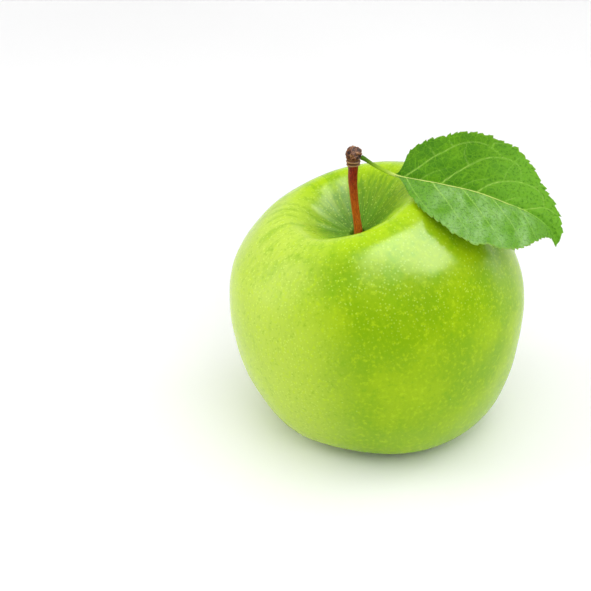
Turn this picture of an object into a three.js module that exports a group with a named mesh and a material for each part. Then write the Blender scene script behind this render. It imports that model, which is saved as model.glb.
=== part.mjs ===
// One whole green apple, picked with its stem, a woody stub of the spur it grew on and one leaf,
// and with the dried remains of its flower in the basin underneath.
// Millimetres, +Z up. The fruit stands on five small flat pads at z = 0.
import * as THREE from 'three';
import { ParametricGeometry } from 'three/addons/geometries/ParametricGeometry.js';

// ---- Driving dimensions: mm and degrees, about the fruit's own axis ----

const GAP = 0.4; // clearance between neighbouring pieces

// Fruit. The section runs from the flower basin, over the widest girth, into the stem's pit.
const FRUIT_SECTION = [ // radius, height
  [0, 7.6], [3.0, 7.0], [6.2, 4.4], [9.8, 1.6], [15.0, 0.0], [22.0, 0.7], [30.1, 5.4],
  [35.2, 14.9], [37.9, 25.8], [38.5, 36.0], [36.4, 45.6], [33.0, 53.2], [27.9, 59.0],
  [22.4, 63.3], [17.1, 64.9], [12.8, 62.9], [9.4, 60.0], [6.2, 57.6], [3.4, 55.9],
  [1.9, 55.2], [1.6, 54.0], [0, 53.8],
];
const FRUIT_HEIGHT = 66;
const FRUIT_SIDES = 60;
const FRUIT_STEPS_PER_POINT = 2;
const LOBE_SWELL = 0.012; // of the radius, five lobes round the lower half
const LOBE_PAD = 0.4; // how far each lobe bulges down before the floor flattens it
const LOBE_PHASE = 0.3; // radians
const OVAL = 0.006; // of the radius, two-sided
const THREE_SIDED = 0.004; // of the radius
const LEAN = 0.05; // sideways drift towards -X for each mm of height
const CROWN_SHIFT = -6; // the crown sits off the axis, along X
const CROWN_TIP = 15.5; // the crown's far shoulder is raised by this slope
const DIP_DEPTH = 1.9; // the pit's rim is lower on one side
const DIP_TOWARDS = -105; // which side, as a direction from the axis

// Stem, from the bottom of the pit to the spur stub.
const STEM_ROUTE = [
  [-5.5, 0.02, 54.5], [-5.6, 0.15, 56.4], [-6.05, 0.4, 59.6], [-6.5, 0.5, 63.0],
  [-7.1, 0.8, 68.7], [-7.2, 1.0, 73.8],
];
const STEM_RADII = [1.05, 1.0, 1.0, 1.1, 1.2, 1.35]; // evenly spaced along the stem

// Spur stub, a knobbly collar and head on top of the stem: radius, height above its foot.
const STUB_FOOT = [-7.2, 1.0, 74.2];
const STUB_LEAN = [0.04, 0.08]; // sideways drift along X and Y for each mm of height
const STUB_SECTION = [
  [0, 0], [1.35, 0], [1.75, 0.4], [1.5, 0.9], [1.85, 1.4], [1.6, 1.9], [2.05, 2.5], [2.1, 3.3],
  [1.9, 4.1], [1.4, 4.7], [0.8, 5.0], [0, 5.1],
];

// Leaf: a stalk that becomes the midrib of the blade.
const LEAF_ROUTE = [
  [-4.6, 0.6, 76.5], [-1.4, -0.9, 75.0], [3.7, -2.8, 73.3], [14.1, -5.4, 72.3],
  [24.3, -6.6, 70.3], [31.8, -7.0, 67.4], [37.4, -7.2, 64.9], [41.9, -7.6, 61.7],
  [44.4, -8.2, 58.5], [45.2, -8.8, 55.6],
];
const STALK_PART = 0.16; // share of the route that is bare stalk
const STALK_RADIUS = 0.5;
const RIB_SPREAD = 1.0; // how far out the midrib's thickness reaches
const BLADE_THICKNESS = 0.5;
const BACK_WIDTHS = [0.5, 10.7, 13.9, 15.6, 15.9, 14.0, 9.4, 5.3, 0.4]; // evenly along the blade
const FRONT_WIDTHS = [0.5, 6.4, 12.9, 16.2, 17.5, 16.2, 12.3, 4.7, 0.4];
const BACK_RISE = 45; // the far half slopes up from the midrib
const FRONT_FALL = 17.5; // the near half slopes down

// Flower remains in the basin.
const SEPAL_COUNT = 5;
const SEPAL_RING = 2.7; // where the sepals stand, radius
const SEPAL_TOP = 6.4;
const SEPAL_LENGTH = 5.6;
const SEPAL_HALF_WIDTH = 1.35;
const SEPAL_HALF_THICKNESS = 0.28;
const SEPAL_LEAN_IN = 0.7; // the tips gather inwards, then curl back out
const STAMEN_SECTION = [[0, 0], [0.9, 0], [1.05, 0.8], [0.75, 1.7], [0.9, 2.5], [0.35, 3.1], [0, 3.2]];

const COLOURS = {
  fruit: '#8fbe1d', stem: '#7a3b1e', spur_stub: '#9c6a50', leaf: '#4f8a1c', sepal: '#b79a5e',
  dried_stamens: '#6b4a2b',
};

// ---- Helpers ----

const UP = new THREE.Vector3(0, 0, 1);
const smoothstep = THREE.MathUtils.smoothstep;
const vector = ([x, y, z]) => new THREE.Vector3(x, y, z);

function material(colour, roughness) {
  return new THREE.MeshStandardMaterial({ color: colour, roughness, metalness: 0 });
}

function smoothCurve(points) {
  return new THREE.CatmullRomCurve3(points, false, 'centripetal');
}

// Value at t (0 to 1) of a smooth run through evenly spaced numbers.
function evenValues(values) {
  const curve = new THREE.SplineCurve(values.map((value, i) => new THREE.Vector2(i, value)));
  return (t) => curve.getPoint(t).y;
}

// A solid of revolution about Z. Its section lists radius and height, from the axis to the axis.
function turned(section, stepsPerPoint, sides) {
  const outline = smoothCurve(section.map(([radius, height]) => new THREE.Vector3(radius, height, 0)));
  const rings = outline.getPoints((section.length - 1) * stepsPerPoint);
  const profile = rings.map((p) => new THREE.Vector2(Math.max(p.x, 0), p.y));
  return new THREE.LatheGeometry(profile, sides).rotateX(Math.PI / 2);
}

// Moves every vertex of a geometry by a function of its position.
function reshape(geometry, move) {
  const position = geometry.getAttribute('position');
  const point = new THREE.Vector3();
  for (let i = 0; i < position.count; i += 1) {
    move(point.fromBufferAttribute(position, i));
    position.setXYZ(i, point.x, point.y, point.z);
  }
  geometry.computeVertexNormals();
  return geometry;
}

// A closed solid along a curve. offset(t, angle) gives how far the skin stands from the curve,
// sideways (level) and upwards, at t from 0 to 1 and at an angle round it.
function alongCurve(curve, rings, sides, level, offset) {
  const skin = (u, v, target) => {
    const ring = Math.round(v * rings);
    const t = THREE.MathUtils.clamp((ring - 1) / (rings - 2), 0, 1);
    const closed = ring === 0 || ring === rings;
    const tangent = curve.getTangentAt(t);
    const side = new THREE.Vector3().crossVectors(level, tangent).normalize();
    const lift = new THREE.Vector3().crossVectors(tangent, side);
    const move = closed ? { side: 0, lift: 0 } : offset(t, u * 2 * Math.PI);
    target.copy(curve.getPointAt(t)).addScaledVector(side, move.side).addScaledVector(lift, move.lift);
  };
  return new ParametricGeometry(skin, sides, rings);
}

// ---- Fruit ----

function shapeFruit(point) {
  const angle = Math.atan2(point.y, point.x);
  const radius = Math.hypot(point.x, point.y);
  const rise = point.z / FRUIT_HEIGHT;
  const low = 1 - smoothstep(rise, 0, 0.55);
  const lobes = Math.cos(5 * angle + LOBE_PHASE);
  const swell = 1 + LOBE_SWELL * low * lobes
    + OVAL * Math.cos(2 * angle + 0.6) + THREE_SIDED * Math.cos(3 * angle + 1.1);
  const pad = LOBE_PAD * low * lobes * smoothstep(radius, 5, 16) * (1 - smoothstep(radius, 20, 34));
  const towards = Math.max(Math.cos(angle - THREE.MathUtils.degToRad(DIP_TOWARDS)), 0);
  const dip = DIP_DEPTH * towards ** 2 * smoothstep(rise, 0.55, 0.75)
    * smoothstep(radius, 3.5, 12.5) * (1 - smoothstep(radius, 14, 27));
  const x = point.x * swell;
  const height = point.z - pad - dip;
  const tip = Math.tan(THREE.MathUtils.degToRad(CROWN_TIP)) * smoothstep(height / FRUIT_HEIGHT, 0, 1);
  point.x = x - LEAN * (height - FRUIT_HEIGHT / 2)
    + CROWN_SHIFT * smoothstep(height / FRUIT_HEIGHT, 0.45, 1);
  point.y *= swell;
  point.z = Math.max(height + tip * x, 0);
}

function makeFruit() {
  const geometry = turned(FRUIT_SECTION, FRUIT_STEPS_PER_POINT, FRUIT_SIDES);
  return new THREE.Mesh(reshape(geometry, shapeFruit), material(COLOURS.fruit, 0.35));
}

// ---- Stem and spur stub ----

function makeStem() {
  const route = smoothCurve(STEM_ROUTE.map(vector));
  const radiusAt = evenValues(STEM_RADII);
  const acrossY = new THREE.Vector3(0, 1, 0);
  const round = (t, angle) => {
    const radius = radiusAt(t);
    return { side: radius * Math.cos(angle), lift: radius * Math.sin(angle) };
  };
  return new THREE.Mesh(alongCurve(route, 18, 12, acrossY, round), material(COLOURS.stem, 0.6));
}

function makeSpurStub() {
  const geometry = turned(STUB_SECTION, 1, 14);
  reshape(geometry, (point) => {
    const angle = Math.atan2(point.y, point.x);
    const swell = 1 + 0.07 * Math.cos(3 * angle + 0.4 + point.z);
    point.x = point.x * swell + STUB_LEAN[0] * point.z;
    point.y = point.y * swell + STUB_LEAN[1] * point.z;
  });
  const stub = new THREE.Mesh(geometry, material(COLOURS.spur_stub, 0.85));
  stub.position.set(...STUB_FOOT);
  return stub;
}

// ---- Leaf ----

function makeLeaf() {
  const route = smoothCurve(LEAF_ROUTE.map(vector));
  const backWidth = evenValues(BACK_WIDTHS);
  const frontWidth = evenValues(FRONT_WIDTHS);
  const rise = THREE.MathUtils.degToRad(BACK_RISE);
  const fall = THREE.MathUtils.degToRad(FRONT_FALL);
  const section = (t, angle) => {
    const along = Math.max((t - STALK_PART) / (1 - STALK_PART), 0);
    const isBack = Math.cos(angle) > 0;
    const widthAt = isBack ? backWidth : frontWidth;
    const spread = t < STALK_PART ? STALK_RADIUS : Math.max(widthAt(along), 0.3);
    const across = spread * Math.cos(angle);
    const rib = (STALK_RADIUS * 2 - BLADE_THICKNESS) * Math.exp(-((across / RIB_SPREAD) ** 2));
    const halfThickness = (BLADE_THICKNESS + rib * (1 - 0.7 * along)) / 2;
    const slope = isBack ? Math.sin(rise) : Math.sin(fall);
    const level = isBack ? Math.cos(rise) : Math.cos(fall);
    return { side: across * level, lift: across * slope + halfThickness * Math.sin(angle) };
  };
  return new THREE.Mesh(alongCurve(route, 40, 20, UP, section), material(COLOURS.leaf, 0.5));
}

// ---- Flower remains ----

// The basin's middle follows the fruit's lean.
function basinX(height) {
  return -LEAN * (height - FRUIT_HEIGHT / 2);
}

function makeSepal(index) {
  const turn = (index / SEPAL_COUNT) * 2 * Math.PI + 0.35;
  const droop = [0, 0.35, 0.75, 1].map((t) => {
    const inward = SEPAL_LEAN_IN * Math.sin(t * Math.PI * 1.1) + 0.15 * index * t * (1 - t);
    const radius = SEPAL_RING - inward + 0.5 * t;
    const height = SEPAL_TOP - SEPAL_LENGTH * t * (0.86 + 0.03 * index);
    return new THREE.Vector3(radius * Math.cos(turn), radius * Math.sin(turn), height);
  });
  const outward = new THREE.Vector3(Math.cos(turn), Math.sin(turn), 0);
  const blade = (t, angle) => {
    const width = SEPAL_HALF_WIDTH * (1 - 0.85 * t ** 1.6);
    return { side: width * Math.cos(angle), lift: SEPAL_HALF_THICKNESS * Math.sin(angle) };
  };
  const geometry = alongCurve(smoothCurve(droop), 9, 10, outward, blade);
  const sepal = new THREE.Mesh(geometry, material(COLOURS.sepal, 0.8));
  sepal.position.x = basinX(SEPAL_TOP);
  return sepal;
}

function makeStamens() {
  const geometry = turned(STAMEN_SECTION, 1, 10).rotateX(Math.PI);
  const stamens = new THREE.Mesh(geometry, material(COLOURS.dried_stamens, 0.9));
  stamens.position.set(basinX(SEPAL_TOP), 0, FRUIT_SECTION[0][1] - GAP);
  return stamens;
}

// ---- Assembly: the origin is under the middle of the whole thing, on the floor ----

const pieces = {
  fruit: makeFruit(), stem: makeStem(), spur_stub: makeSpurStub(), leaf: makeLeaf(),
  dried_stamens: makeStamens(),
};
for (let i = 0; i < SEPAL_COUNT; i += 1) {
  pieces[`sepal_${i + 1}`] = makeSepal(i);
}

const group = new THREE.Group();
for (const [name, mesh] of Object.entries(pieces)) {
  mesh.name = name;
  group.add(mesh);
}
const box = new THREE.Box3().setFromObject(group, true);
const middle = box.getCenter(new THREE.Vector3());
group.position.set(-middle.x, -middle.y, -box.min.z);

export default group;
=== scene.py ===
import math

import bmesh
import bpy
import numpy as np
from mathutils import Matrix, Vector, noise


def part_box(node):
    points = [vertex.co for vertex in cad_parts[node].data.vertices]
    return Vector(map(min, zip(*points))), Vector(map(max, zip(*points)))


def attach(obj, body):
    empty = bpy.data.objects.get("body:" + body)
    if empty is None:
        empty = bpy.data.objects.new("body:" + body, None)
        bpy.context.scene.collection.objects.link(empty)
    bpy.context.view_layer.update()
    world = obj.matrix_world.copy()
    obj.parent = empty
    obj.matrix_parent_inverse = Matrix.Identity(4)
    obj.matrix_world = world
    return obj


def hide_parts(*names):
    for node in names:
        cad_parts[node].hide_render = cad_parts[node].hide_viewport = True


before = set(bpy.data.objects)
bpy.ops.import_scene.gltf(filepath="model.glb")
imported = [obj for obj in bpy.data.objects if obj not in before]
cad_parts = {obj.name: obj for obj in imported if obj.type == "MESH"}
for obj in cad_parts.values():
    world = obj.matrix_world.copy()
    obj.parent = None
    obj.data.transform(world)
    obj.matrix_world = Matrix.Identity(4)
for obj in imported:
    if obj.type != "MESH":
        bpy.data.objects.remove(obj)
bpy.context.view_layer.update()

# Shapes are worked out in millimetres about the fruit's own axis, with the floor at z = 0, and
# then placed in the row frame by the fruit's box.

MM = 0.001

# ---- Driving dimensions ----

# The fruit and the leaf's fold are the CAD part's own. The stem, stub and stalk are a little finer
# than there and run on into their neighbours. The leaf's teeth and veins are only here.

FRUIT_SECTION = [  # radius, height, from the flower basin, over the girth, into the stem's pit
    (0, 7.6), (3.0, 7.0), (6.2, 4.4), (9.8, 1.6), (15.0, 0.0), (22.0, 0.7), (30.1, 5.4),
    (35.2, 14.9), (37.9, 25.8), (38.5, 36.0), (36.4, 45.6), (33.0, 53.2), (27.9, 59.0),
    (22.4, 63.3), (17.1, 64.9), (12.8, 62.9), (9.4, 60.0), (6.2, 57.6), (3.4, 55.9),
    (1.9, 55.2), (1.6, 54.0), (0, 53.8),
]
FRUIT_HEIGHT = 66.0
CAD_SIDES = 60  # how finely the CAD part cuts the same form
CAD_STEPS_PER_POINT = 2
LOBE_COUNT = 5
LOBE_SWELL = 0.012  # of the radius, over the lower half
LOBE_PAD = 0.4  # how far each lobe bulges down before the floor flattens it
LOBE_PHASE = 0.3
LOBES_END = 0.55  # of the height
OVAL = 0.006  # of the radius, two-sided
OVAL_PHASE = 0.6
THREE_SIDED = 0.004
THREE_SIDED_PHASE = 1.1
LEAN = 0.05  # sideways drift towards -X for each mm of height
CROWN_SHIFT = -6.0
CROWN_TIP = math.radians(15.5)
DIP_DEPTH = 1.9  # the pit's rim is lower on one side
DIP_TOWARDS = math.radians(-105)

STEM_ROUTE = [
    (-5.5, 0.02, 54.0), (-5.6, 0.15, 56.4), (-6.05, 0.4, 59.6), (-6.5, 0.5, 63.0),
    (-7.1, 0.8, 68.7), (-7.2, 1.0, 73.8), (-7.2, 1.0, 74.4),
]
STEM_RADII = [1.08, 1.0, 0.97, 1.05, 1.2, 1.35]  # evenly spaced along the stem

STUB_FOOT = np.array([-7.2, 1.0, 74.2])
STUB_LEAN = np.array([0.04, 0.08])
COLLAR_TOP = 1.7  # the rings end here and the knobbly head begins
RING_PITCH = 0.9
FIRST_RING = 0.42
STUB_SECTION = [  # radius, height above the foot
    (0, 0), (1.3, 0), (1.66, 0.4), (1.52, 0.85), (1.76, 1.3), (1.6, 1.8), (1.95, 2.4), (2.1, 3.2),
    (1.95, 4.0), (1.5, 4.6), (0.8, 4.95), (0, 5.0),
]

LEAF_ROUTE = [
    (-5.2, 0.75, 76.7), (-4.6, 0.6, 76.5), (-1.4, -0.9, 75.0), (3.7, -2.8, 73.3),
    (14.1, -5.4, 72.3), (24.3, -6.6, 70.3), (31.8, -7.0, 67.4), (37.4, -7.2, 64.9),
    (41.9, -7.6, 61.7), (44.4, -8.2, 58.5), (45.2, -8.8, 55.6),
]
ROUTE_SPAN = 60  # points in each span of the leaf's route
STALK_LENGTH = 9.24  # from the route's second point to the blade's foot
STALK_RADIUS = 0.48
RIB_FOOT_RADIUS = 0.28
RIB_TIP_RADIUS = 0.10
RIB_PROUD = 0.21  # how far the midrib's top stands above the middle of the blade
BACK_RISE = math.radians(45)
FRONT_FALL = math.radians(17.5)

# The blade's edge: distance along the midrib from its foot, and distance out from the midrib.
BACK_EDGE = [
    (0, 0.3), (0.9, 1.2), (1.4, 3.4), (1.9, 6.4), (3.6, 8.9), (6.5, 10.9), (14.3, 14.45),
    (22.5, 15.75), (30.4, 13.9), (36.0, 9.4), (40.3, 6.4), (43.5, 4.0), (46.5, 1.6), (48.4, 0),
]
FRONT_EDGE = [
    (0, 0.3), (2.1, 0.9), (5.1, 5.1), (8.9, 9.6), (12.9, 13.4), (18.5, 16.4), (24.8, 17.4),
    (31.9, 15.3), (37.3, 11.4), (40.2, 8.0), (42.8, 4.2), (45.2, 1.4), (48.4, 0),
]
# Side veins: how strong each is, and the points it runs through.
BACK_VEINS = [
    (1.0, [(2.2, 0), (5.5, 3.2), (9.6, 7.5), (15.6, 11.9), (19.8, 13.2), (23, 12.6), (25.9, 11.3)]),
    (1.0, [(11.8, 0), (15.7, 4.2), (18.1, 6.4), (21.8, 9.7), (25.9, 11.3), (30.2, 10.5), (32, 6.9)]),
    (0.9, [(21.3, 0), (24.8, 3.7), (29.2, 6.1), (33.2, 6.8), (37.3, 6.4), (39.1, 3.6)]),
    (0.7, [(34.4, 0), (37.0, 1.9), (39.1, 3.5), (42.0, 4.2)]),
    (0.4, [(6.4, 0), (9.4, 2.6), (12.6, 4.4)]), (0.4, [(16.6, 0), (20.4, 3.0), (23.4, 4.4)]),
    (0.4, [(28.6, 0), (31.4, 2.2), (34.6, 3.3)]), (0.45, [(18.1, 6.4), (16.4, 9.4), (16.6, 12.1)]),
    (0.4, [(22.4, 12.8), (22.6, 14.2), (24.6, 15.2)]), (0.45, [(13.2, 10.5), (11.8, 12.0)]),
    (0.4, [(28.4, 11.2), (29.4, 12.8)]), (0.45, [(27.2, 5.2), (27.4, 8.0), (28.6, 11.0)]),
    (0.4, [(9.2, 7.1), (7.0, 9.8)]), (0.4, [(35.0, 6.8), (36.4, 8.6)]),
]
FRONT_VEINS = [
    (0.6, [(3.0, 0), (6.6, 5.0), (10.6, 10.2)]),
    (0.8, [(9.7, 0), (13.5, 4.6), (18.4, 11.6), (21.6, 15.8)]),
    (0.8, [(17.4, 0), (21.7, 4.8), (26.4, 10.8), (29.6, 15.2)]),
    (0.7, [(25.2, 0), (29.8, 4.4), (33.8, 9.2), (36.2, 11.4)]),
    (0.6, [(33.0, 0), (36.6, 3.4), (39.6, 6.8)]), (0.3, [(13.4, 0), (17.4, 3.6), (20.8, 8.0)]),
    (0.3, [(21.4, 0), (25.6, 3.4), (28.6, 7.0)]), (0.3, [(29.2, 0), (32.6, 2.8), (35.6, 6.2)]),
]
VEIN_WIDTH = 0.15
TOOTH_PITCH = 2.15
TOOTH_HEIGHT = 0.85
BLADE_THICKNESS = 0.26
QUILT_HEIGHT = 0.36  # how far the blade rises between its veins
QUILT_REACH = 1.9  # and how far from a vein it has risen most of that
FRONT_QUILT = 0.6  # the front half is flatter by this
VEIN_RIDGE = 0.26  # how far a vein stands out below the blade

SEPAL_COUNT = 5
SEPAL_RING = 2.7  # from the basin's middle
SEPAL_TOP = 6.6
SEPAL_LENGTH = 5.6
SEPAL_HALF_WIDTH = 1.45
SEPAL_LEAN_IN = 0.7  # the tips gather inwards, then curl back out
SEPAL_PHASE = 0.35
STAMEN_COUNT = 16
STAMEN_RING = 0.85
STAMEN_TOP = 7.3
GOLDEN_ANGLE = 2.399963  # spreads the stamens evenly

UP = np.array([0, 0, 1.0])
JOIN_GAP = 2e-6  # metres

# ---- Numbers helpers ----


def smoothstep(low, high, x):
    t = np.clip((np.asarray(x, float) - low) / (high - low), 0, 1)
    return t * t * (3 - 2 * t)


def mix(a, b, t):
    return a + (b - a) * t


def smooth_curve(points, per_span):
    """A centripetal Catmull-Rom curve through the points."""
    p = np.array(points, float)
    p = np.vstack([2 * p[0] - p[1], p, 2 * p[-1] - p[-2]])
    out = []
    for a, b, c, d in zip(p, p[1:], p[2:], p[3:]):
        k1 = np.sqrt(np.linalg.norm(b - a))
        k2 = k1 + np.sqrt(np.linalg.norm(c - b))
        k3 = k2 + np.sqrt(np.linalg.norm(d - c))
        t = np.linspace(k1, k2, per_span, endpoint=False)[:, None]
        ab = mix(a, b, t / k1)
        bc = mix(b, c, (t - k1) / (k2 - k1))
        cd = mix(c, d, (t - k2) / (k3 - k2))
        low, high = mix(ab, bc, t / k2), mix(bc, cd, (t - k1) / (k3 - k1))
        out.append(mix(low, high, (t - k1) / (k2 - k1)))
    return np.vstack(out + [p[-2][None]])


def lengths(points):
    steps = np.linalg.norm(np.diff(points, axis=0), axis=1)
    return np.concatenate([[0], np.cumsum(steps)])


def resample(points, count):
    """The same line with evenly spaced points."""
    run = lengths(points)
    where = np.linspace(0, run[-1], count)
    return np.stack([np.interp(where, run, points[:, k]) for k in range(points.shape[1])], 1)


def even_values(values, t):
    """A smooth curve through evenly spaced values, read at shares from 0 to 1 of its length."""
    curve = smooth_curve([(i, v) for i, v in enumerate(values)], 20)
    return np.interp(np.asarray(t) * (len(values) - 1), curve[:, 0], curve[:, 1])


def roughen(points, size, seed):
    """Smooth noise from -1 to 1 at each point, with features of about that size in millimetres."""
    shift = Vector((seed * 17.3, seed * 5.1, seed * 9.7))
    flat = np.asarray(points, float).reshape(-1, 3) / size
    values = [noise.noise(Vector(p) + shift) for p in flat]
    return np.array(values).reshape(np.asarray(points).shape[:-1])


def unit(v):
    return v / np.maximum(np.linalg.norm(v, axis=-1, keepdims=True), 1e-9)


def grid_normals(grid):
    """Normals of a grid whose second direction closes on itself."""
    along = np.gradient(grid, axis=0)
    around = np.roll(grid, -1, 1) - np.roll(grid, 1, 1)
    return unit(np.cross(around, along))


# ---- The fruit's form, and its place in the row frame ----


def shape_fruit(x, y, z):
    """The lathe-turned form's points, lobed, leaned and tipped as in the CAD part."""
    angle = np.arctan2(y, x)
    radius = np.hypot(x, y)
    low = 1 - smoothstep(0, LOBES_END, z / FRUIT_HEIGHT)
    lobes = np.cos(LOBE_COUNT * angle + LOBE_PHASE)
    swell = 1 + LOBE_SWELL * low * lobes
    swell = swell + OVAL * np.cos(2 * angle + OVAL_PHASE)
    swell = swell + THREE_SIDED * np.cos(3 * angle + THREE_SIDED_PHASE)
    pad = LOBE_PAD * low * lobes * smoothstep(5, 16, radius) * (1 - smoothstep(20, 34, radius))
    dip = DIP_DEPTH * np.maximum(np.cos(angle - DIP_TOWARDS), 0) ** 2
    dip = dip * smoothstep(0.55, 0.75, z / FRUIT_HEIGHT)
    dip = dip * smoothstep(3.5, 12.5, radius) * (1 - smoothstep(14, 27, radius))
    x = x * swell
    height = z - pad - dip
    rise = height / FRUIT_HEIGHT
    tipped = height + math.tan(CROWN_TIP) * smoothstep(0, 1, rise) * x
    x = x - LEAN * (height - FRUIT_HEIGHT / 2) + CROWN_SHIFT * smoothstep(0.45, 1, rise)
    return np.stack([x, y * swell, tipped], -1)


def fruit_grid(around, per_span):
    """Rings of points up the fruit, with each point's radius, height and angle before shaping."""
    section = smooth_curve(FRUIT_SECTION, per_span)
    radius = np.maximum(section[:, 0], 0)[:, None]
    turn = np.linspace(0, 2 * math.pi, around, endpoint=False)[None, :]
    height = section[:, 1][:, None] + 0 * turn
    grid = shape_fruit(radius * np.cos(turn), radius * np.sin(turn), height)
    return grid, radius + 0 * turn, height, turn + 0 * radius


def row_offset():
    """What moves the fruit's own axis into the row frame, in millimetres."""
    low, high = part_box("fruit")
    points = fruit_grid(CAD_SIDES, CAD_STEPS_PER_POINT)[0].reshape(-1, 3)
    middle = (points.min(0) + points.max(0)) / 2
    wanted_x = (low.x + high.x) / 2 / MM
    wanted_y = (low.y + high.y) / 2 / MM
    return np.array([wanted_x - middle[0], wanted_y - middle[1], 0])


OFFSET = row_offset()

# ---- Mesh helpers ----

END_RINGS = 4  # rings of points in each flat end of a tube


def make_piece(name, points, faces, material, replaces, attributes=None):
    """A smooth-shaded mesh object from points in millimetres about the fruit's axis."""
    mesh = bpy.data.meshes.new(name)
    mesh.from_pydata(((points + OFFSET) * MM).tolist(), [], faces)
    mesh.update()
    mesh.polygons.foreach_set("use_smooth", [True] * len(mesh.polygons))
    for key, values in (attributes or {}).items():
        values = np.asarray(values, np.float32)
        is_vector = values.ndim == 2
        layer = mesh.attributes.new(key, "FLOAT_VECTOR" if is_vector else "FLOAT", "POINT")
        layer.data.foreach_set("vector" if is_vector else "value", values.ravel())
    mesh.materials.append(material)
    piece = bpy.data.objects.new(name, mesh)
    bpy.context.scene.collection.objects.link(piece)
    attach(piece, "root")
    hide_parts(*replaces)
    return piece


def ring_faces(rings, around):
    """Quads between rings of points, each ring closed on itself."""
    faces = []
    for i in range(rings - 1):
        for j in range(around):
            k = (j + 1) % around
            a = i * around
            faces.append((a + j, a + k, a + around + k, a + around + j))
    return faces


def closed_rings(grid):
    """Points and faces of a grid of closed rings, whose first and last ring become one point."""
    rings, around = grid.shape[:2]
    inner = grid[1:-1].reshape(-1, 3)
    first, last = len(inner), len(inner) + 1
    points = np.vstack([inner, grid[0].mean(0), grid[-1].mean(0)])
    faces = ring_faces(rings - 2, around)
    top = (rings - 3) * around
    for j in range(around):
        k = (j + 1) % around
        faces.append((first, k, j))
        faces.append((last, top + j, top + k))
    return points, faces


def closed_values(values):
    """Per-vertex values that go with closed_rings."""
    values = np.asarray(values, float)
    tail = values.shape[2:]
    return np.concatenate([values[1:-1].reshape((-1,) + tail), [values[0, 0]], [values[-1, 0]]])


def tube(route, radii, around, level, end_rings=END_RINGS):
    """A tube grid along a route, closed by flat ends, with each point's angle and share along."""
    tangent = unit(np.gradient(route, axis=0))
    side = unit(np.cross(np.array(level, float), tangent))
    lift = np.cross(tangent, side)
    turn = np.linspace(0, 2 * math.pi, around, endpoint=False)
    radius = np.asarray(radii, float)[:, None, None]
    around_part = np.cos(turn)[None, :, None] * side[:, None]
    around_part = around_part + np.sin(turn)[None, :, None] * lift[:, None]
    grid = route[:, None] + radius * around_part
    shares = np.linspace(0, 1, end_rings, endpoint=False)
    start = np.stack([route[0] + share * radius[0] * around_part[0] for share in shares])
    end = np.stack([route[-1] + share * radius[-1] * around_part[-1] for share in shares[::-1]])
    grid = np.concatenate([start, grid, end])
    run = np.concatenate([np.zeros(end_rings), np.linspace(0, 1, len(route)), np.ones(end_rings)])
    size = grid.shape[:2]
    return grid, np.broadcast_to(turn, size), np.broadcast_to(run[:, None], size)


# ---- Material helpers ----

# Where a Mix node keeps its colour sockets.
MIX_FACTOR, MIX_COLOUR_A, MIX_COLOUR_B, MIX_COLOUR_OUT = 0, 6, 7, 2


class Nodes:
    """A material's node tree, built by short calls."""

    def __init__(self, name):
        self.material = bpy.data.materials.new(name)
        self.material.use_nodes = True
        self.tree = self.material.node_tree
        self.bsdf = self.tree.nodes["Principled BSDF"]

    def add(self, kind, **settings):
        node = self.tree.nodes.new(kind)
        for key, value in settings.items():
            setattr(node, key, value)
        return node

    def link(self, source, target):
        self.tree.links.new(source, target)

    def feed(self, socket, value):
        if isinstance(value, bpy.types.NodeSocket):
            self.link(value, socket)
        elif isinstance(value, tuple) and len(value) == 3 and socket.type == "RGBA":
            socket.default_value = (*value, 1)
        else:
            socket.default_value = value

    def set(self, **values):
        for key, value in values.items():
            self.feed(self.bsdf.inputs[key.replace("_", " ")], value)

    def attribute(self, name, output="Fac"):
        return self.add("ShaderNodeAttribute", attribute_name=name).outputs[output]

    def position(self):
        return self.add("ShaderNodeTexCoord").outputs["Object"]

    def noise(self, vector, scale, detail=3.0, roughness=0.5):
        node = self.add("ShaderNodeTexNoise")
        self.feed(node.inputs["Vector"], vector)
        node.inputs["Scale"].default_value = scale
        node.inputs["Detail"].default_value = detail
        node.inputs["Roughness"].default_value = roughness
        return node.outputs["Fac"]

    def voronoi(self, vector, scale, feature="F1", output="Distance"):
        node = self.add("ShaderNodeTexVoronoi", feature=feature)
        self.feed(node.inputs["Vector"], vector)
        node.inputs["Scale"].default_value = scale
        return node.outputs[output]

    def math(self, operation, a, b):
        node = self.add("ShaderNodeMath", operation=operation)
        self.feed(node.inputs[0], a)
        self.feed(node.inputs[1], b)
        return node.outputs[0]

    def times(self, a, b):
        return self.math("MULTIPLY", a, b)

    def ramp(self, value, low, high, to_low=0.0, to_high=1.0):
        """A smooth step of the value, from to_low at low to to_high at high."""
        node = self.add("ShaderNodeMapRange", interpolation_type="SMOOTHSTEP")
        self.feed(node.inputs["Value"], value)
        node.inputs["From Min"].default_value = low
        node.inputs["From Max"].default_value = high
        node.inputs["To Min"].default_value = to_low
        node.inputs["To Max"].default_value = to_high
        return node.outputs["Result"]

    def mix(self, factor, a, b):
        node = self.add("ShaderNodeMix", data_type="RGBA")
        self.feed(node.inputs[MIX_FACTOR], factor)
        self.feed(node.inputs[MIX_COLOUR_A], a)
        self.feed(node.inputs[MIX_COLOUR_B], b)
        return node.outputs[MIX_COLOUR_OUT]

    def scaled(self, vector, scale):
        node = self.add("ShaderNodeMapping")
        self.feed(node.inputs["Vector"], vector)
        node.inputs["Scale"].default_value = scale
        return node.outputs["Vector"]

    def bump(self, height, distance, strength=1.0, below=None):
        node = self.add("ShaderNodeBump")
        self.feed(node.inputs["Height"], height)
        node.inputs["Distance"].default_value = distance
        node.inputs["Strength"].default_value = strength
        if below is not None:
            self.link(below, node.inputs["Normal"])
        return node.outputs["Normal"]


# ---- Materials ----

# Base colours, as the linear red, green and blue that the shader takes.

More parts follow.
